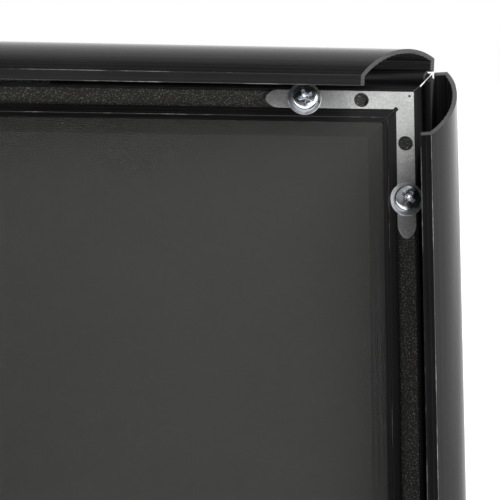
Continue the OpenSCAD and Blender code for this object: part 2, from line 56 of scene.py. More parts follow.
# Cover section
COVER_W = 32.0
COVER_WALL = 1.6
COVER_RADIUS = 24.0
COVER_OUTER_V = 10.7
COVER_LIP_V = 7.4
LIP_TIP_V = 3.45
COVER_MITRE_GAP = 0.15
HOOK_SETBACK = 2.8
HOOK_CLEAR_V = 5.8
HOOK_FROM = -32.0
HOOK_TO = 200.0
RIB_ANGLES = tuple(range(60, 121, 5))
RIB_H = 0.28
RIB_HALF = 0.7  # degrees from a rib's middle to its foot
RIB_TOP_HALF = 0.42  # degrees from its middle to the corner of its top
CORNER_CLEAR = 1.0  # degrees left plain beside the leg and the lip
LEG_RIBS = (6.9, 7.9, 8.9)
LEG_RIB_H = 0.3
LEG_RIB_FOOT = 0.35
LEG_RIB_TOP = 0.2
COVER_ARC_STEPS = 72
COVER_ROUND = 0.35
CROOK_ROUND = 0.3  # where the curved top meets the leg and the lip
RIB_ROUND = 0.15
LEG_RIB_ROUND = 0.08
LEG_END_ROUND = 0.2

# Cover hinge
HINGE_U = 2.4
HINGE_V = 4.0
BEAD_R = 1.3
HOOK_INNER_R = 1.4
HOOK_OUTER_R = 2.4
STEM_ANGLE = -60.0
STEM_T = 1.0
HOOK_OVERLAP = 0.3  # how far the hook's piece runs into the shell's leg
HOOK_SKIN = 0.02  # how far it stays inside the leg's faces

# Base rail section
PLATE_START = 1.0
PLATE_T = 1.2
FLOOR_T = 1.4
CHANNEL_U = 8.1
CHANNEL_W = 7.0
CHANNEL_WALL = 1.2
RIDGE_V = 3.3
RIDGE_W = 3.25
LEDGE_W = 7.55
LEDGE_V = 2.8
GROOVE_WALL = 0.85
GROOVE_V = 0.8
GROOVE_TOP = 1.9
FLANGE_SHORT = 1.5
RAIL_MITRE_GAP = 0.4
CHANNEL_END = CHANNEL_U + CHANNEL_W
CHANNEL_MID = CHANNEL_U + CHANNEL_W / 2
RIDGE_END = CHANNEL_END + RIDGE_W
BASE_W = RIDGE_END + LEDGE_W

# Rounded corners of the rail section
OUTER_ROUND = 0.12
RIDGE_ROUND = 0.22
INNER_ROUND = 0.2
LEDGE_ROUND = 0.1
MAX_CORNER = 88  # half angle in degrees from which a corner counts as straight

# Edges worn by handling that catch the light, painted pale as part wear and part painted
# highlight, and the chamfer round a sawn end
EDGE_REACH = 0.26
END_CHAMFER = 0.05
COVER_EDGES = ((COVER_W, LIP_TIP_V), (COVER_W, COVER_LIP_V))
RAIL_EDGES = ((RIDGE_END, RIDGE_V),)

# Corner brackets, screws and washers
BRACKET_T = 2.0
ARM_W = 6.9
BRACKET_ARM = 52.5
BRACKET_HOLE_AT = 16.5
BRACKET_SCREW_AT = 38.0
BRACKET_HOLE_R = 2.75
TIP_R = 6.0
NOSE_R = 2.3
CORNER_RELIEF_R = 0.8
CORNER_ROUND = 0.5
PUNCH_R = 0.4
PUNCH_IN = 1.7
SHANK_R = 2.45
SCREW_HOLE_R = 2.5
SCREW_END_V = 0.2
HEAD_R = 4.9
HEAD_H = 2.8
HEAD_CHAMFER = 0.25
HEAD_ROUND = 1.25
HEAD_SIDE = 1.15
HEAD_ARC = 62
CROWN_STEPS = 6
SHANK_CHAMFER = 0.3
WASHER_R = 6.3
WASHER_T = 1.0
WASHER_ROUND = 0.18
WASHER_HOLE_ROUND = 0.08
BRACKET_ROUND = 0.1

# Cross recess: reach and half width of its wings at the mouth and at the bottom
RECESS_DEPTH = 2.0
RECESS_TOP = 2.85
RECESS_BOTTOM = 1.4
WING_TOP = 0.78
WING_BOTTOM = 0.5
RECESS_TIP = 0.5
RECESS_FILLET = 0.42
RECESS_SINK = 0.12
RECESS_ABOVE = 1.0
RECESS_FLARE = 0.35
RECESS_EDGE = 0.09
RECESS_EDGE_ANGLE = 32
SCREW_TURNS = (8, 12, 40, 71, 24, 56, 33, 80)

# Rounding on the edges of the CAD nodes that are kept
FOOT_EDGE = 1.2
RIVET_EDGE = 0.3
STEEL_EDGE = 0.25
SCREW_EDGE = 0.2

# Distances within which vertices are joined, and a face counts as lying on the channel floor
WELD = 0.0001
LATHE_WELD = 0.00001
CAD_WELD = 0.001
FLAT = 0.01

# Shading: edges sharper than these stay sharp, in degrees
SMOOTH_BELOW = 35
SCREW_SMOOTH_BELOW = 40
WASHER_SMOOTH_BELOW = 50

# Looks and light. Places and sizes are in metres in the row frame, powers in watts.
SHEET_HAZE = 0.45
FLOOR_REACH = 120
FLOOR_DROP = -0.0005
FLOOR_GLOW = 0.1
FRONT_LOW = 0.015
FRONT_HIGH = 0.3
BACK_GLOW = 2.2
RIGHT_GLOW = 3.3
FRONT_RISE = (0.1, 0.5)
BACK_RISE = (-0.1, 0.35)
RIGHT_RISE = (0.1, 0.75)
LIGHT_TARGET = (0.3, 0, 0.85)
KEY_PLACE = (1.26, -1.4, 1.76)
KEY_SIZE = (1.8, 1.7)
KEY_POWER = 14.5
LOW_PLACE = (-0.7, -1.9, 0.45)
LOW_SIZE = (0.7, 0.4)
LOW_POWER = 3

# Close-up of the front frame's top right corner. The camera's place is given from that corner
# across, up and out from the back plane, in millimetres, and its turn from looking square on.
CAMERA_FROM_CORNER = (-112.3, -176.1, 614.5)
CAMERA_TURN = (0.173, -0.068, 0.011)
CAMERA_LENS = 121.7
CAMERA_CLIP = 0.01
SENSOR = 36.0


# ---------------------------------------------------------------- places in the frame

JOINTS = {joint["name"]: joint for joint in frame["joints"]}


def hinge_joint(face, side):
    return JOINTS[f"{face}_{side}_cover_hinge"]


def hinge_point(face, side):
    return Vector(hinge_joint(face, side)["pos_m"])


def face_normal(face):
    across = hinge_point(face, "right") - hinge_point(face, "left")
    up = hinge_point(face, "top") - hinge_point(face, "bottom")
    return across.cross(up).normalized()


def axes_matrix(x_axis, y_axis, z_axis, origin):
    """Matrix that carries local metres to the row frame."""
    turn = Matrix((x_axis, y_axis, z_axis)).transposed()
    return Matrix.Translation(origin) @ turn.to_4x4()


def rail_matrix(face, side):
    """X along the rail from its middle, Y in from the outer edge, Z forwards from the back."""
    along = Vector(hinge_joint(face, side)["axis"])
    normal = face_normal(face)
    inward = normal.cross(along)
    origin = hinge_point(face, side) - inward * HINGE_U * MM - normal * HINGE_V * MM
    return axes_matrix(along, inward, normal, origin)


def rail_length(face, side):
    """Outer length of a rail in millimetres, between the outer edges of its neighbours."""
    pair = ("left", "right") if side in ("top", "bottom") else ("top", "bottom")
    span = (hinge_point(face, pair[0]) - hinge_point(face, pair[1])).length
    return span / MM + 2 * HINGE_U


def corner_matrix(face, side):
    """Outer corner at the start of a rail, with X along that rail and Y along its neighbour."""
    start = -rail_length(face, side) / 2 * MM
    return rail_matrix(face, side) @ Matrix.Translation((start, 0, 0))


def rest_angle(face, side):
    """Angle that a cover stands open at rest."""
    return -hinge_joint(face, side)["range_deg"][0]


# ---------------------------------------------------------------- outlines

def polar(centre, radius, degrees):
    angle = math.radians(degrees)
    return (centre[0] + radius * math.cos(angle), centre[1] + radius * math.sin(angle))


def turned(x, y, degrees):
    angle = math.radians(degrees)
    cos = math.cos(angle)
    sin = math.sin(angle)
    return (x * cos - y * sin, x * sin + y * cos)


def arc(centre, radius, start, end, steps):
    """Points along an arc, both ends included."""
    return [polar(centre, radius, start + (end - start) * i / steps) for i in range(steps + 1)]


def rounded(corners, steps=3):
    """Outline from (u, v, radius) corners, each rounded by about that radius where it is not 0."""
    points = []
    count = len(corners)
    for i, (u, v, radius) in enumerate(corners):
        here = Vector((u, v))
        if radius == 0:
            points.append((u, v))
            continue
        before = Vector(corners[i - 1][:2]) - here
        after = Vector(corners[(i + 1) % count][:2]) - here
        half = before.angle(after) / 2
        if half > math.radians(MAX_CORNER):
            points.append((u, v))
            continue
        back = min(radius / math.tan(half), before.length * 0.45, after.length * 0.45)
        start = here + before.normalized() * back
        end = here + after.normalized() * back
        for k in range(steps + 1):
            t = k / steps
            point = start * (1 - t) ** 2 + here * 2 * t * (1 - t) + end * t**2
            points.append((point.x, point.y))
    return points


def signed_area(points):
    total = 0.0
    for i, (u0, v0) in enumerate(points):
        u1, v1 = points[(i + 1) % len(points)]
        total += u0 * v1 - u1 * v0
    return total / 2


def anticlockwise(points):
    return list(points) if signed_area(points) > 0 else list(reversed(points))


def inset(points, distance):
    """An anticlockwise outline moved inwards, for the small chamfer round a cut end."""
    result = []
    count = len(points)
    for i, point in enumerate(points):
        here = Vector(point)
        a = (here - Vector(points[i - 1])).normalized()
        b = (Vector(points[(i + 1) % count]) - here).normalized()
        normal = Vector((-a.y - b.y, a.x + b.x))
        if normal.length < 1e-6:
            normal = Vector((-a.y, a.x))
        normal.normalize()
        stretch = max(0.5, Vector((-a.y, a.x)).dot(normal))
        result.append(tuple(here + normal * distance / stretch))
    return result


def cover_centre():
    """Centre of the cover's curved top, below the chord between its two corners."""
    start = Vector((0, COVER_OUTER_V))
    end = Vector((COVER_W, COVER_LIP_V))
    chord = end - start
    sink = math.sqrt(COVER_RADIUS**2 - (chord.length / 2) ** 2)
    down = Vector((chord.y, -chord.x)).normalized()
    return (start + end) / 2 + down * sink


def angle_at(centre, point):
    return math.degrees(math.atan2(point[1] - centre[1], point[0] - centre[0]))


def plain(points):
    """Corners that stay sharp."""
    return [(u, v, 0) for u, v in points]


def cover_shell_outline():
    """Leg, curved top with its inner ribs, and lip, down to where the hook's piece takes over."""
    centre = cover_centre()
    inner_r = COVER_RADIUS - COVER_WALL
    outer_start = angle_at(centre, (0, COVER_OUTER_V))
    outer_end = angle_at(centre, (COVER_W, COVER_LIP_V))
    leg_inner = math.degrees(math.acos((COVER_WALL - centre.x) / inner_r))
    lip_inner = math.degrees(math.acos((COVER_W - COVER_WALL - centre.x) / inner_r))
    points = plain(arc(centre, COVER_RADIUS, outer_start, outer_end, COVER_ARC_STEPS))
    points[0] = (0, COVER_OUTER_V, COVER_ROUND)
    points[-1] = (COVER_W, COVER_LIP_V, CROOK_ROUND)
    points.append((COVER_W, LIP_TIP_V, COVER_ROUND))
    points.append((COVER_W - COVER_WALL, LIP_TIP_V, COVER_ROUND))
    stops = [lip_inner, *RIB_ANGLES, leg_inner]
    points.append((*polar(centre, inner_r, lip_inner), CROOK_ROUND))
    for before, after in zip(stops[:-1], stops[1:]):
        start = before + (RIB_HALF if before != lip_inner else CORNER_CLEAR)
        end = after - (RIB_HALF if after != leg_inner else CORNER_CLEAR)
        points += plain(arc(centre, inner_r, start, end, 10))
        if after != leg_inner:
            for angle in (after - RIB_TOP_HALF, after + RIB_TOP_HALF):
                points.append((*polar(centre, inner_r - RIB_H, angle), RIB_ROUND))
    points.append((*polar(centre, inner_r, leg_inner), CROOK_ROUND))
    for v in reversed(LEG_RIBS):
        points.append((COVER_WALL, v + LEG_RIB_FOOT, LEG_RIB_ROUND))
        points.append((COVER_WALL + LEG_RIB_H, v + LEG_RIB_TOP, LEG_RIB_ROUND))
        points.append((COVER_WALL + LEG_RIB_H, v - LEG_RIB_TOP, LEG_RIB_ROUND))
        points.append((COVER_WALL, v - LEG_RIB_FOOT, LEG_RIB_ROUND))
    points.append((COVER_WALL, HOOK_CLEAR_V, LEG_END_ROUND))
    points.append((0, HOOK_CLEAR_V, LEG_END_ROUND))
    return anticlockwise(rounded(points))


def hook_outline():
    """Foot of the leg and the open ring that turns on the rail's bead."""
    hinge = (HINGE_U, HINGE_V)
    top = HOOK_CLEAR_V + HOOK_OVERLAP
    leg_side = math.degrees(math.acos((COVER_WALL - HOOK_SKIN - HINGE_U) / HOOK_OUTER_R))
    points = arc(hinge, HOOK_OUTER_R, HOOK_FROM, leg_side, 24)
    points.append((COVER_WALL - HOOK_SKIN, top))
    points.append((HOOK_SKIN, top))
    points += arc(hinge, HOOK_OUTER_R - HOOK_SKIN, 180, HOOK_TO, 4)
    points += arc(hinge, HOOK_INNER_R, HOOK_TO, HOOK_FROM, 40)
    return anticlockwise(points)


def rail_outline():
    """Back plate with the hinge bead on its stem, channel, ridge, ledge and panel groove."""
    hinge = Vector((HINGE_U, HINGE_V))
    down = Vector(polar((0, 0), 1, STEM_ANGLE))
    side = Vector((-down.y, down.x)) * STEM_T / 2
    spread = math.degrees(math.asin(STEM_T / 2 / BEAD_R))
    right_foot = hinge + side + down * ((HINGE_V + side.y - PLATE_T) / -down.y)
    left_foot = hinge - side + down * ((HINGE_V - side.y - PLATE_T) / -down.y)
    points = [
        (PLATE_START, 0, OUTER_ROUND),
        (BASE_W - FLANGE_SHORT, 0, OUTER_ROUND),
        (BASE_W - FLANGE_SHORT, GROOVE_V, OUTER_ROUND),
        (RIDGE_END + GROOVE_WALL, GROOVE_V, OUTER_ROUND),
        (RIDGE_END + GROOVE_WALL, GROOVE_TOP, OUTER_ROUND),
        (BASE_W, GROOVE_TOP, OUTER_ROUND),
        (BASE_W, LEDGE_V, INNER_ROUND),
        (RIDGE_END, LEDGE_V, LEDGE_ROUND),
        (RIDGE_END, RIDGE_V, RIDGE_ROUND),
        (CHANNEL_END, RIDGE_V, RIDGE_ROUND),
        (CHANNEL_END, FLOOR_T, INNER_ROUND),
        (CHANNEL_U, FLOOR_T, INNER_ROUND),
        (CHANNEL_U, RIDGE_V, RIDGE_ROUND),
        (CHANNEL_U - CHANNEL_WALL, RIDGE_V, RIDGE_ROUND),
        (CHANNEL_U - CHANNEL_WALL, PLATE_T, INNER_ROUND),
        (right_foot.x, right_foot.y, INNER_ROUND),
    ]
    points += plain(arc(hinge, BEAD_R, STEM_ANGLE + spread, STEM_ANGLE + 360 - spread, 36))
    points.append((left_foot.x, left_foot.y, INNER_ROUND))
    points.append((PLATE_START, PLATE_T, OUTER_ROUND))
    return anticlockwise(rounded(points))


# ---------------------------------------------------------------- meshes

def new_object(name, mesh, place=Matrix.Identity(4)):
    piece = bpy.data.objects.new(name, mesh)
    bpy.context.scene.collection.objects.link(piece)
    piece.matrix_world = place
    return piece


def flatten_shading(piece):
    """Keeps flat faces flat beside their rounded edges."""
    weigh = piece.modifiers.new("shading", "WEIGHTED_NORMAL")
    weigh.keep_sharp = True
    weigh.weight = 100


def smooth_faces(bm, smooth_below):
    """Shades everything smooth except across edges sharper than the angle given."""
    for face in bm.faces:
        face.smooth = True
    limit = math.radians(smooth_below)
    for edge in bm.edges:
        if len(edge.link_faces) == 2 and edge.calc_face_angle() > limit:
            edge.smooth = False


def finish_mesh(name, bm, smooth_below=SMOOTH_BELOW):
    """Makes a smooth-shaded mesh in metres from a bmesh in millimetres."""
    bmesh.ops.recalc_face_normals(bm, faces=bm.faces)
    bmesh.ops.scale(bm, vec=(MM, MM, MM), verts=bm.verts)
    smooth_faces(bm, smooth_below)
    mesh = bpy.data.meshes.new(name)
    bm.to_mesh(mesh)
    bm.free()
    return mesh


def sweep(bm, outline, end_x, cap_material):
    """Sweeps an outline along X between chamfered ends that lie end_x(u) from the middle."""
    tip = (inset(outline, END_CHAMFER), 0)
    shoulder = (outline, END_CHAMFER)
    rings = []
    for sign, (points, back) in ((-1, tip), (-1, shoulder), (1, shoulder), (1, tip)):
        rings.append([bm.verts.new((sign * (end_x(u) - back), u, v)) for u, v in points])
    count = len(outline)
    for ring, following in zip(rings[:-1], rings[1:]):
        for i in range(count):
            j = (i + 1) % count
            bm.faces.new((ring[i], ring[j], following[j], following[i]))
    triangles = tessellate_polygon([[Vector((u, v, 0)) for u, v in outline]])
    for ring in (rings[0], rings[-1]):
        for corners in triangles:
            face = bm.faces.new([ring[i] for i in corners])
            face.material_index = cap_material


def mark_edges(bm, spots, material):
    """Gives the strips along the rounded edges at the (u, v) spots their own material."""
    for face in bm.faces:
        centre = face.calc_center_median()
        for u, v in spots:
            if len(face.verts) == 4 and math.hypot(centre.y - u, centre.z - v) < EDGE_REACH:
                face.material_index = material


def mitred_end(length, gap, setback=0):
    """End of a mitred piece, a gap short of the corner's diagonal and set back at least so far."""
    return lambda u: length / 2 - max(setback, u + gap)


def rail_piece(face, side):
    """One mitred base rail: black faces, sawn ends, grainy channel floor and a ridge edge painted
    pale, partly wear and partly a painted highlight.
    """
    length = rail_length(face, side)
    bm = bmesh.new()
    sweep(bm, rail_outline(), mitred_end(length, RAIL_MITRE_GAP), 1)
    for strip in bm.faces:
        centre = strip.calc_center_median()
        in_channel = CHANNEL_U < centre.y < CHANNEL_END and len(strip.verts) == 4
        if in_channel and abs(centre.z - FLOOR_T) < FLAT:
            strip.material_index = 2
    # The ridge edge strip is painted pale, partly wear and partly a painted highlight.
    mark_edges(bm, RAIL_EDGES, 3)
    mesh = finish_mesh(f"{face}_{side}_rail_shape", bm)
    piece = new_object(f"{face}_{side}_rail_detail", mesh, rail_matrix(face, side))
    for material in (ANODISED, CUT_END, CHANNEL_FLOOR, WORN_EDGE_AND_HIGHLIGHT):
        mesh.materials.append(material)
    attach(piece, f"{face}_frame")
    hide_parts(f"{face}_{side}_rail")
    flatten_shading(piece)
    return piece


def cover_piece(face, side):
    """One snap cover with its hook, standing as it does at rest."""
    length = rail_length(face, side)
    bm = bmesh.new()
    sweep(bm, cover_shell_outline(), mitred_end(length, COVER_MITRE_GAP), 1)
    sweep(bm, hook_outline(), mitred_end(length, COVER_MITRE_GAP, HOOK_SETBACK), 1)
    # The lip edge strips are painted pale, partly wear and partly a painted highlight.
    mark_edges(bm, COVER_EDGES, 2)
    mesh = finish_mesh(f"{face}_{side}_cover_shape", bm)
    hinge_line = Matrix.Translation((0, HINGE_U * MM, HINGE_V * MM))
    turn = Matrix.Rotation(math.radians(rest_angle(face, side)), 4, "X")
    swing = hinge_line @ turn @ hinge_line.inverted()
    piece = new_object(f"{face}_{side}_cover_detail", mesh, rail_matrix(face, side) @ swing)
    for material in (ANODISED, CUT_END, WORN_EDGE_AND_HIGHLIGHT):
        mesh.materials.append(material)
    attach(piece, f"{face}_{side}_cover")
    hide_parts(f"{face}_{side}_cover")
    flatten_shading(piece)
    return piece


def plate_mesh(name, loops, thickness, edge):
    """Flat plate with rounded edges from one outer loop and any hole loops, its back at Z = 0."""
    curve = bpy.data.curves.new(name + "_curve", "CURVE")
    curve.dimensions = "2D"
    curve.fill_mode = "BOTH"
    curve.extrude = (thickness / 2 - edge) * MM
    curve.bevel_depth = edge * MM
    curve.bevel_resolution = 2
    curve.offset = -edge * MM
    for loop in loops:
        spline = curve.splines.new("POLY")
        spline.points.add(len(loop) - 1)
        for point, (x, y) in zip(spline.points, loop):
            point.co = (x * MM, y * MM, 0, 1)
        spline.use_cyclic_u = True
    holder = bpy.data.objects.new(name + "_holder", curve)
    bpy.context.scene.collection.objects.link(holder)
    shaped = holder.evaluated_get(bpy.context.evaluated_depsgraph_get())
    mesh = bpy.data.meshes.new_from_object(shaped)
    mesh.transform(Matrix.Translation((0, 0, thickness / 2 * MM)))
    bpy.data.objects.remove(holder)
    return mesh


def bracket_loops():
    """Outer outline of the L and its holes, from the frame's outer corner."""
    half = ARM_W / 2
    mid = CHANNEL_MID
    arc_drop = TIP_R - half
    nose_back = math.sqrt((TIP_R - NOSE_R) ** 2 - arc_drop**2)
    straight = BRACKET_ARM - NOSE_R - nose_back
    tangent = math.degrees(math.atan2(arc_drop, nose_back))
    lower = arc((straight, arc_drop), TIP_R, -90, -tangent, 10)
    nose = arc((straight + nose_back, 0), NOSE_R, -tangent, tangent, 12)
    upper = arc((straight, -arc_drop), TIP_R, tangent, 90, 10)
    along_x = [(x + mid, y + mid) for x, y in lower[:-1] + nose + upper[1:]]
    relief = arc((mid + half, mid + half), CORNER_RELIEF_R, 0, -270, 12)
    along_y = [(y, x) for x, y in reversed(along_x)]
    corner = (mid - half, mid - half, CORNER_ROUND)
    outer = rounded([corner] + plain(along_x + relief + along_y))
    punch = mid - half + PUNCH_IN
    holes = [arc((punch, punch), PUNCH_R, 0, 330, 11)]
    spots = ((BRACKET_HOLE_R, BRACKET_HOLE_AT), (SCREW_HOLE_R, BRACKET_SCREW_AT))
    for radius, distance in spots:
        holes.append(arc((mid + distance, mid), radius, 0, 350, 35))
        holes.append(arc((mid, mid + distance), radius, 0, 350, 35))
    return outer, holes


def join_copies(name, mesh, places):
    """One mesh that holds a copy of the given mesh at each place."""
    bm = bmesh.new()
    for place in places:
        start = len(bm.verts)
        bm.from_mesh(mesh)
        bm.verts.ensure_lookup_table()
        bmesh.ops.transform(bm, matrix=place, verts=bm.verts[start:])
    joined = bpy.data.meshes.new(name)
    bm.to_mesh(joined)
    bm.free()
    return joined


def smooth_mesh(mesh, smooth_below=SMOOTH_BELOW):
    """Joins the doubled vertices of a finished mesh in metres and shades it smooth."""
    bm = bmesh.new()
    bm.from_mesh(mesh)
    bmesh.ops.remove_doubles(bm, verts=bm.verts, dist=WELD * MM)
    smooth_faces(bm, smooth_below)
    bm.to_mesh(mesh)
    bm.free()


def bracket_pieces(face):
    """The four corner brackets of a frame."""
    outer, holes = bracket_loops()
    mesh = plate_mesh("bracket", [outer] + holes, BRACKET_T, BRACKET_ROUND)
    smooth_mesh(mesh)
    lift = Matrix.Translation((0, 0, FLOOR_T * MM))
    places = [corner_matrix(face, side) @ lift for side in SIDES]
    joined = join_copies(f"{face}_brackets_shape", mesh, places)
    piece = new_object(f"{face}_corner_brackets_detail", joined)
    joined.materials.clear()
    joined.materials.append(BRACKET_ZINC)
    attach(piece, f"{face}_frame")
    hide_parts(f"{face}_corner_brackets")
    flatten_shading(piece)
    return piece


def lathe(bm, profile, steps=64):
    """Turns an (r, z) profile about Z. A point on the axis closes the surface there."""
    rings = []
    for radius, z in profile:
        if radius == 0:
            rings.append([bm.verts.new((0, 0, z))])
        else:
            circle = [polar((0, 0), radius, 360 * i / steps) for i in range(steps)]
            rings.append([bm.verts.new((x, y, z)) for x, y in circle])
    for ring, following in zip(rings[:-1], rings[1:]):
        for i in range(steps):
            j = (i + 1) % steps
            if len(ring) == 1:
                bm.faces.new((ring[0], following[j], following[i]))
            elif len(following) == 1:
                bm.faces.new((ring[i], ring[j], following[0]))
            else:
                bm.faces.new((ring[i], ring[j], following[j], following[i]))


def washer_mesh():
    """Flat washer with its underside at Z = 0."""
    corners = [
        (SCREW_HOLE_R, 0, WASHER_HOLE_ROUND),
        (WASHER_R, 0, WASHER_ROUND),
        (WASHER_R, WASHER_T, WASHER_ROUND),
        (SCREW_HOLE_R, WASHER_T, WASHER_HOLE_ROUND),
    ]
    outline = rounded(corners)
    bm = bmesh.new()
    lathe(bm, outline + outline[:1])
    bmesh.ops.remove_doubles(bm, verts=bm.verts, dist=LATHE_WELD)
    return finish_mesh("washer", bm, WASHER_SMOOTH_BELOW)


def recess_cutter():
    """Cross recess: four tapered wings and a central cone, with its mouth at Z = 0."""
    bm = bmesh.new()
    levels = (
        (RECESS_ABOVE, RECESS_TOP + RECESS_FLARE, WING_TOP),
        (0, RECESS_TOP, WING_TOP),
        (-RECESS_DEPTH, RECESS_BOTTOM, WING_BOTTOM),
    )
    rings = []
    for z, reach, wing in levels:
        fillet = wing + RECESS_FILLET
        quarter = ((reach, -wing), (reach, wing), (fillet, wing), (wing, fillet))
        ring = []
        for turn in range(4):
            for x, y in quarter:
                ring.append(bm.verts.new((*turned(x, y, 90 * turn), z)))
        rings.append(ring)
    count = len(rings[0])
    for ring, following in zip(rings[:-1], rings[1:]):
        for i in range(count):
            j = (i + 1) % count
            bm.faces.new((ring[i], ring[j], following[j], following[i]))
    bm.faces.new(rings[0])
    tip = bm.verts.new((0, 0, -RECESS_DEPTH - RECESS_TIP))
    for i in range(count):
        bm.faces.new((rings[-1][i], rings[-1][(i + 1) % count], tip))
    return finish_mesh("recess", bm)


def screw_profile():
    """(r, z) profile of the shank, the rounded rim of the head and its low dome."""
    shank = FLOOR_T + BRACKET_T + WASHER_T - SCREW_END_V
    profile = [
        (0, -shank),
        (SHANK_R - SHANK_CHAMFER, -shank),
        (SHANK_R, -shank + SHANK_CHAMFER),
        (SHANK_R, 0),
        (HEAD_R - HEAD_CHAMFER, 0),
        (HEAD_R, HEAD_CHAMFER),
    ]
    profile += arc((HEAD_R - HEAD_ROUND, HEAD_SIDE), HEAD_ROUND, 0, HEAD_ARC, 8)
    reach, top = profile[-1]
    for i in range(1, CROWN_STEPS):
        t = i / CROWN_STEPS
        profile.append((reach * (1 - t), top + (HEAD_H - top) * (1 - (1 - t) ** 2)))
    profile.append((0, HEAD_H))
    return profile


def screw_mesh():
    """Pan-head screw with the head's underside at Z = 0, cut with a cross recess."""
    bm = bmesh.new()
    lathe(bm, screw_profile())
    head = new_object("screw_blank", finish_mesh("screw", bm))
    mouth = Matrix.Translation((0, 0, (HEAD_H - RECESS_SINK) * MM))
    cutter = new_object("screw_cutter", recess_cutter(), mouth)
    cut = head.modifiers.new("recess", "BOOLEAN")
    cut.operation = "DIFFERENCE"
    cut.solver = "EXACT"
    cut.object = cutter
    round_off = head.modifiers.new("edges", "BEVEL")
    round_off.width = RECESS_EDGE * MM
    round_off.segments = 2
    round_off.limit_method = "ANGLE"
    round_off.angle_limit = math.radians(RECESS_EDGE_ANGLE)
    bpy.context.view_layer.update()
    shaped = head.evaluated_get(bpy.context.evaluated_depsgraph_get())
    mesh = bpy.data.meshes.new_from_object(shaped)
    bpy.data.objects.remove(head)
    bpy.data.objects.remove(cutter)
    smooth_mesh(mesh, SCREW_SMOOTH_BELOW)
    return mesh


def on_arms(face, distance, height):
    """Places at a distance along both arms of every corner, at a height above the back plane."""
    places = []
    for side in SIDES:
        corner = corner_matrix(face, side)
        for along, across in ((distance, 0), (0, distance)):
            offset = Vector((CHANNEL_MID + along, CHANNEL_MID + across, height)) * MM
            places.append(corner @ Matrix.Translation(offset))
    return places


def washer_pieces(face):
    """The eight washers of a frame's brackets."""
    places = on_arms(face, BRACKET_SCREW_AT, FLOOR_T + BRACKET_T)
    joined = join_copies(f"{face}_washers_shape", WASHER, places)
    joined.materials.append(WASHER_ZINC)
    piece = new_object(f"{face}_washers_detail", joined)
    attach(piece, f"{face}_frame")
    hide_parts(f"{face}_bracket_washers")
    flatten_shading(piece)
    return piece


def screw_pieces(face):
    """The eight screws of a frame's brackets, each left at its own turn."""
    spots = on_arms(face, BRACKET_SCREW_AT, FLOOR_T + BRACKET_T + WASHER_T)
    places = []
    for spot, turn in zip(spots, SCREW_TURNS):
        places.append(spot @ Matrix.Rotation(math.radians(turn), 4, "Z"))
    joined = join_copies(f"{face}_screws_shape", SCREW, places)
    joined.materials.clear()
    joined.materials.append(SCREW_ZINC)
    piece = new_object(f"{face}_screws_detail", joined)
    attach(piece, f"{face}_frame")
    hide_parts(f"{face}_bracket_screws")
    flatten_shading(piece)
    return piece


# ---------------------------------------------------------------- materials

def grey(value):
    return (value, value, value)


class Nodes:
    """Short names for building a node material in the object's own coordinates, in metres."""

    def __init__(self, name):
        self.material = bpy.data.materials.new(name)
        self.material.use_nodes = True
        self.tree = self.material.node_tree
        self.shader = self.tree.nodes["Principled BSDF"]
        self.where = self.tree.nodes.new("ShaderNodeTexCoord").outputs["Object"]

    def link(self, source, target):
        self.tree.links.new(source, target)

    def to(self, name, source):
        self.link(source, self.shader.inputs[name])

    def set(self, **values):
        """Sets uniform values on the shader's own sockets."""
        for key, value in values.items():
            self.shader.inputs[key.replace("_", " ")].default_value = value

    def noise(self, scale, detail, stretch=(1, 1, 1), roughness=0.5):
        mapping = self.tree.nodes.new("ShaderNodeMapping")
        mapping.inputs["Scale"].default_value = stretch
        self.link(self.where, mapping.inputs["Vector"])
        node = self.tree.nodes.new("ShaderNodeTexNoise")
        node.inputs["Scale"].default_value = scale
        node.inputs["Detail"].default_value = detail
        node.inputs["Roughness"].default_value = roughness
        self.link(mapping.outputs["Vector"], node.inputs["Vector"])
        return node.outputs["Fac"]

    def voronoi(self, scale):
        node = self.tree.nodes.new("ShaderNodeTexVoronoi")
        node.inputs["Scale"].default_value = scale
        self.link(self.where, node.inputs["Vector"])
        return node.outputs["Distance"]

    def ramp(self, source, low, high, at_low=0.0, at_high=1.0):
        """Goes from one grey to another as the source rises from low to high."""
        node = self.tree.nodes.new("ShaderNodeValToRGB")
        stops = ((low, at_low), (high, at_high))
        for element, (position, value) in zip(node.color_ramp.elements, stops):
            element.position = position
            element.color = (*grey(value), 1)
        self.link(source, node.inputs["Fac"])
        return node.outputs["Color"]

    def mix(self, factor, first, second):
        node = self.tree.nodes.new("ShaderNodeMix")
        node.data_type = "RGBA"
        sockets = (node.inputs["Factor"], node.inputs[6], node.inputs[7])
        for socket, value in zip(sockets, (factor, first, second)):
            if isinstance(value, (int, float)):
                socket.default_value = value
            elif isinstance(value, tuple):
                socket.default_value = (*value, 1)
            else:
                self.link(value, socket)
        return node.outputs[2]

    def half(self, source):
        """Half of a grey value, for a change that stays faint."""
        return self.mix(0.5, source, grey(0))

    def bump(self, source, strength, distance, base=None):
        node = self.tree.nodes.new("ShaderNodeBump")
        node.inputs["Strength"].default_value = strength
        node.inputs["Distance"].default_value = distance
        self.link(source, node.inputs["Height"])
        if base:
            self.link(base, node.inputs["Normal"])
        return node.outputs["Normal"]


def anodised():
    """Satin black anodised aluminium: extrusion lines along X, a soft mottle and a few specks."""
    n = Nodes("anodised_black")
    lines = n.noise(900, 2, (0.004, 1, 1))
    mottle = n.ramp(n.noise(38, 3), 0.4, 0.7)
    specks = n.ramp(n.voronoi(260), 0.0, 0.035, 1.0, 0.0)
    colour = n.mix(n.ramp(lines, 0.35, 0.7), grey(0.004), (0.008, 0.008, 0.00776))
    colour = n.mix(n.half(mottle), colour, grey(0.01))
    n.to("Base Color", n.mix(specks, colour, (0.16, 0.16, 0.15)))
    n.to("Roughness", n.mix(n.ramp(lines, 0.3, 0.7), grey(0.22), grey(0.3)))
    haze = n.bump(n.noise(2600, 2), 0.04, 0.00005)
    n.to("Normal", n.bump(lines, 0.05, 0.0001, haze))
    n.set(Specular_IOR_Level=0.12)
    return n.material


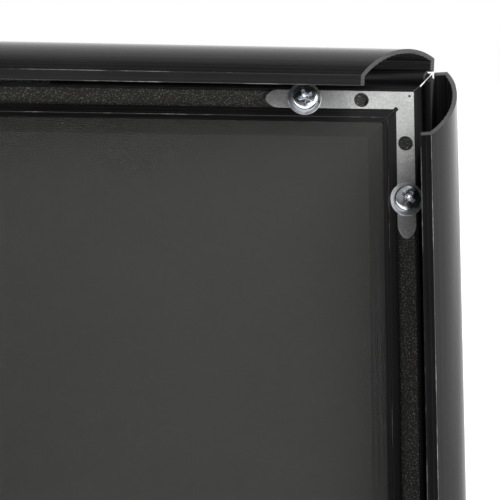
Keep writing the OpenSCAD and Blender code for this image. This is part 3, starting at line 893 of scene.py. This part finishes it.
def worn_edge_and_highlight():
    """Corner of the extrusion, where handling has thinned the black and metal shows in streaks;
    the pale streaks also stand in for the light the edge catches, a painted highlight.
    """
    n = Nodes("worn_edge_and_highlight")
    streaks = n.noise(60, 5, (0.35, 1, 1), 0.7)
    rub_and_highlight = n.ramp(streaks, 0.5, 0.7)
    # Pale metal in the streaks: partly real wear, partly a painted highlight along the edge.
    n.to("Base Color", n.mix(rub_and_highlight, grey(0.012), (0.4, 0.4, 0.39)))
    n.to("Metallic", n.mix(rub_and_highlight, grey(0.0), grey(0.9)))
    n.to("Roughness", n.mix(rub_and_highlight, grey(0.24), grey(0.36)))
    n.to("Normal", n.bump(streaks, 0.1, 0.00005))
    return n.material


def cut_end():
    """Sawn aluminium, anodised after cutting: paler, with saw marks."""
    n = Nodes("cut_end")
    marks = n.noise(1600, 2, (1, 0.15, 1))
    n.to("Base Color", n.mix(n.ramp(marks, 0.35, 0.65), grey(0.028), grey(0.05)))
    n.to("Roughness", n.ramp(marks, 0.3, 0.7, 0.4, 0.6))
    n.to("Normal", n.bump(marks, 0.25, 0.00006))
    n.set(Metallic=0.6)
    return n.material


def channel_floor():
    """Floor of the bracket channel: a dull grainy black with fine bright flecks."""
    n = Nodes("channel_floor")
    grain = n.noise(1500, 4, roughness=0.7)
    flecks = n.ramp(n.noise(2000, 2), 0.57, 0.66)
    dark = (0.003, 0.003, 0.0022)
    light = (0.017, 0.0165, 0.013)
    colour = n.mix(n.ramp(grain, 0.35, 0.65), dark, light)
    n.to("Base Color", n.mix(flecks, colour, (0.2, 0.195, 0.17)))
    n.to("Roughness", n.ramp(grain, 0.3, 0.7, 0.5, 0.75))
    n.to("Normal", n.bump(grain, 0.5, 0.00012))
    return n.material


def zinc(name, low, high, rough_low, rough_high, grain_scale):
    """Zinc-plated steel with a fine grain and a slow change of tone."""
    n = Nodes(name)
    grain = n.noise(grain_scale, 4, roughness=0.65)
    cloud = n.ramp(n.noise(60, 2), 0.35, 0.65)
    colour = n.mix(n.ramp(grain, 0.35, 0.65), low, high)
    shade = tuple(0.8 * channel for channel in low)
    n.to("Base Color", n.mix(n.half(cloud), colour, shade))
    n.to("Roughness", n.mix(n.ramp(grain, 0.3, 0.7), grey(rough_low), grey(rough_high)))
    n.to("Normal", n.bump(grain, 0.3, 0.00008))
    n.set(Metallic=1.0)
    return n.material


def panel():
    """Dark grey back panel with a faint pebble and dust."""
    n = Nodes("panel")
    pebble = n.noise(1400, 3)
    cloud = n.ramp(n.noise(7, 2), 0.3, 0.7)
    dust = n.ramp(n.voronoi(95), 0.0, 0.018, 1.0, 0.0)
    colour = n.mix(cloud, (0.007, 0.007, 0.0065), (0.01, 0.01, 0.0095))
    n.to("Base Color", n.mix(dust, colour, (0.2, 0.2, 0.19)))
    n.to("Roughness", n.ramp(pebble, 0.3, 0.7, 0.5, 0.62))
    n.to("Normal", n.bump(pebble, 0.15, 0.00005))
    n.set(Specular_IOR_Level=0.06)
    return n.material


def clear_sheet():
    """Clear sheet with a matt face against glare: a thin grey haze and fine dust."""
    n = Nodes("clear_sheet")
    frost = n.noise(1500, 3)
    cloud = n.ramp(n.noise(6, 3), 0.3, 0.7)
    haze = n.mix(cloud, (0.02, 0.02, 0.0178), (0.036, 0.036, 0.0325))
    haze = n.mix(n.ramp(frost, 0.35, 0.7, 0.0, 0.5), haze, (0.12, 0.12, 0.114))
    dust = n.ramp(n.voronoi(150), 0.018, 0.036, 1.0, 0.0)
    n.to("Base Color", n.mix(dust, haze, (0.2, 0.2, 0.19)))
    n.to("Alpha", n.mix(dust, grey(SHEET_HAZE), grey(1.0)))
    n.to("Roughness", n.ramp(frost, 0.3, 0.7, 0.34, 0.42))
    n.to("Normal", n.bump(frost, 0.08, 0.00003))
    n.set(IOR=1.5, Specular_IOR_Level=0.4)
    return n.material


def moulded_plastic():
    """Moulded black plastic with a fine spark-eroded grain and scuffs."""
    n = Nodes("foot_plastic")
    scuff = n.ramp(n.noise(55, 5), 0.55, 0.75)
    n.to("Base Color", n.mix(n.half(scuff), grey(0.018), (0.06, 0.058, 0.055)))
    n.to("Roughness", n.mix(scuff, grey(0.5), grey(0.72)))
    n.to("Normal", n.bump(n.voronoi(1100), 0.3, 0.0001))
    return n.material


ANODISED = anodised()
WORN_EDGE_AND_HIGHLIGHT = worn_edge_and_highlight()
CUT_END = cut_end()
CHANNEL_FLOOR = channel_floor()
BRACKET_ZINC = zinc("bracket_zinc", (0.36, 0.37, 0.36), (0.62, 0.63, 0.62), 0.42, 0.6, 1400)
SCREW_ZINC = zinc("screw_zinc", (0.68, 0.71, 0.76), (0.86, 0.89, 0.93), 0.16, 0.28, 500)
WASHER_ZINC = zinc("washer_zinc", (0.66, 0.69, 0.73), (0.84, 0.87, 0.91), 0.26, 0.4, 600)
FITTING_ZINC = zinc("fitting_zinc", (0.42, 0.43, 0.44), (0.58, 0.59, 0.6), 0.3, 0.45, 700)
SPRING_STEEL = zinc("spring_steel", (0.35, 0.35, 0.36), (0.5, 0.5, 0.51), 0.2, 0.35, 900)
PANEL = panel()
CLEAR_SHEET = clear_sheet()
FOOT_PLASTIC = moulded_plastic()


# ---------------------------------------------------------------- pieces

WASHER = washer_mesh()
SCREW = screw_mesh()

for face in FACES:
    for side in SIDES:
        rail_piece(face, side)
        cover_piece(face, side)
    bracket_pieces(face)
    washer_pieces(face)
    screw_pieces(face)


def dress(node, material, edge=0.0):
    """Gives a CAD node its material and, where an edge radius is given, rounded edges."""
    piece = frame["nodes"][node]
    piece.data.materials.clear()
    piece.data.materials.append(material)
    if edge:
        weld = piece.modifiers.new("weld", "WELD")
        weld.merge_threshold = CAD_WELD * MM
        soften = piece.modifiers.new("edges", "BEVEL")
        soften.width = edge * MM
        soften.segments = 3
        soften.limit_method = "ANGLE"
        soften.angle_limit = math.radians(SMOOTH_BELOW)
        soften.harden_normals = True


for face in FACES:
    dress(f"{face}_back_panel", PANEL)
    dress(f"{face}_clear_sheet", CLEAR_SHEET)
    dress(f"{face}_snap_springs", SPRING_STEEL)
    dress(f"{face}_feet", FOOT_PLASTIC, FOOT_EDGE)
    dress(f"{face}_foot_screws", FITTING_ZINC, SCREW_EDGE)
    dress(f"{face}_hinge_plates", FITTING_ZINC, STEEL_EDGE)
    dress(f"{face}_hinge_rivets", FITTING_ZINC, RIVET_EDGE)
    dress(f"{face}_stay_brackets", FITTING_ZINC, STEEL_EDGE)
    dress(f"{face}_stay_rivets", FITTING_ZINC, RIVET_EDGE)
dress("front_stay_pivots", FITTING_ZINC, STEEL_EDGE)
dress("rear_stay_pegs", FITTING_ZINC, STEEL_EDGE)
dress("hinge_pins", FITTING_ZINC, STEEL_EDGE)
dress("left_stay_bar", FITTING_ZINC, STEEL_EDGE)
dress("right_stay_bar", FITTING_ZINC, STEEL_EDGE)


# ---------------------------------------------------------------- studio

def floor():
    """Plain pale studio floor, lit like a light table so that it stays pale far away."""
    bm = bmesh.new()
    bmesh.ops.create_grid(bm, x_segments=1, y_segments=1, size=FLOOR_REACH)
    mesh = bpy.data.meshes.new("floor")
    bm.to_mesh(mesh)
    bm.free()
    piece = new_object("floor", mesh, Matrix.Translation((0, 0, FLOOR_DROP)))
    n = Nodes("floor_paper")
    n.set(Base_Color=(0.86, 0.86, 0.86, 1), Roughness=0.8)
    n.set(Emission_Color=(1, 1, 1, 1), Emission_Strength=FLOOR_GLOW)
    n.to("Normal", n.bump(n.noise(60, 2), 0.05, 0.001))
    mesh.materials.append(n.material)


def softbox(name, place, size, power):
    """Rectangular lamp aimed at the middle of the board's upper right part."""
    light = bpy.data.lights.new(name, "AREA")
    light.shape = "RECTANGLE"
    light.size, light.size_y = size
    light.energy = power
    lamp = bpy.data.objects.new(name, light)
    bpy.context.scene.collection.objects.link(lamp)
    lamp.location = place
    aim = Vector(LIGHT_TARGET) - Vector(place)
    lamp.rotation_euler = aim.to_track_quat("-Z", "Y").to_euler()


def map_range(tree, source, span, to_low, to_high):
    """Eases from one value to another as the source crosses a span."""
    node = tree.nodes.new("ShaderNodeMapRange")
    node.interpolation_type = "SMOOTHSTEP"
    node.inputs["From Min"].default_value = span[0]
    node.inputs["From Max"].default_value = span[1]
    node.inputs["To Min"].default_value = to_low
    node.inputs["To Max"].default_value = to_high
    tree.links.new(source, node.inputs["Value"])
    return node.outputs["Result"]


def mix_value(tree, factor, first, second):
    node = tree.nodes.new("ShaderNodeMix")
    for name, value in (("Factor", factor), ("A", first), ("B", second)):
        socket = node.inputs[name]
        if isinstance(value, (int, float)):
            socket.default_value = value
        else:
            tree.links.new(value, socket)
    return node.outputs["Result"]


def studio():
    """White behind the board and at its right, a dark room in front, and two soft boxes."""
    world = bpy.data.worlds.new("studio")
    bpy.context.scene.world = world
    world.use_nodes = True
    tree = world.node_tree
    background = tree.nodes["Background"]
    background.inputs["Color"].default_value = (1, 1, 1, 1)
    direction = tree.nodes.new("ShaderNodeSeparateXYZ")
    where = tree.nodes.new("ShaderNodeTexCoord")
    tree.links.new(where.outputs["Generated"], direction.inputs["Vector"])
    front = map_range(tree, direction.outputs["Z"], FRONT_RISE, FRONT_LOW, FRONT_HIGH)
    behind = map_range(tree, direction.outputs["Y"], BACK_RISE, 0.0, 1.0)
    right = map_range(tree, direction.outputs["X"], RIGHT_RISE, 0.0, 1.0)
    room = mix_value(tree, right, mix_value(tree, behind, front, BACK_GLOW), RIGHT_GLOW)
    seen = tree.nodes.new("ShaderNodeLightPath").outputs["Is Camera Ray"]
    tree.links.new(mix_value(tree, seen, room, 1.0), background.inputs["Strength"])
    softbox("key", KEY_PLACE, KEY_SIZE, KEY_POWER)
    softbox("low", LOW_PLACE, LOW_SIZE, LOW_POWER)
    bpy.context.scene.view_settings.view_transform = "Standard"


def camera():
    rail_end = rail_length("front", "right") / 2 * MM
    corner = rail_matrix("front", "right") @ Matrix.Translation((rail_end, 0, 0))
    across = (hinge_point("front", "right") - hinge_point("front", "left")).normalized()
    up = (hinge_point("front", "top") - hinge_point("front", "bottom")).normalized()
    face = axes_matrix(across, up, face_normal("front"), corner.translation)
    turn = Euler(CAMERA_TURN, "ZYX").to_matrix().to_4x4()
    data = bpy.data.cameras.new("camera")
    data.lens = CAMERA_LENS
    data.sensor_width = SENSOR
    data.clip_start = CAMERA_CLIP
    eye = bpy.data.objects.new("camera", data)
    bpy.context.scene.collection.objects.link(eye)
    eye.matrix_world = face @ Matrix.Translation(Vector(CAMERA_FROM_CORNER) * MM) @ turn
    bpy.context.scene.camera = eye


floor()
studio()
camera()
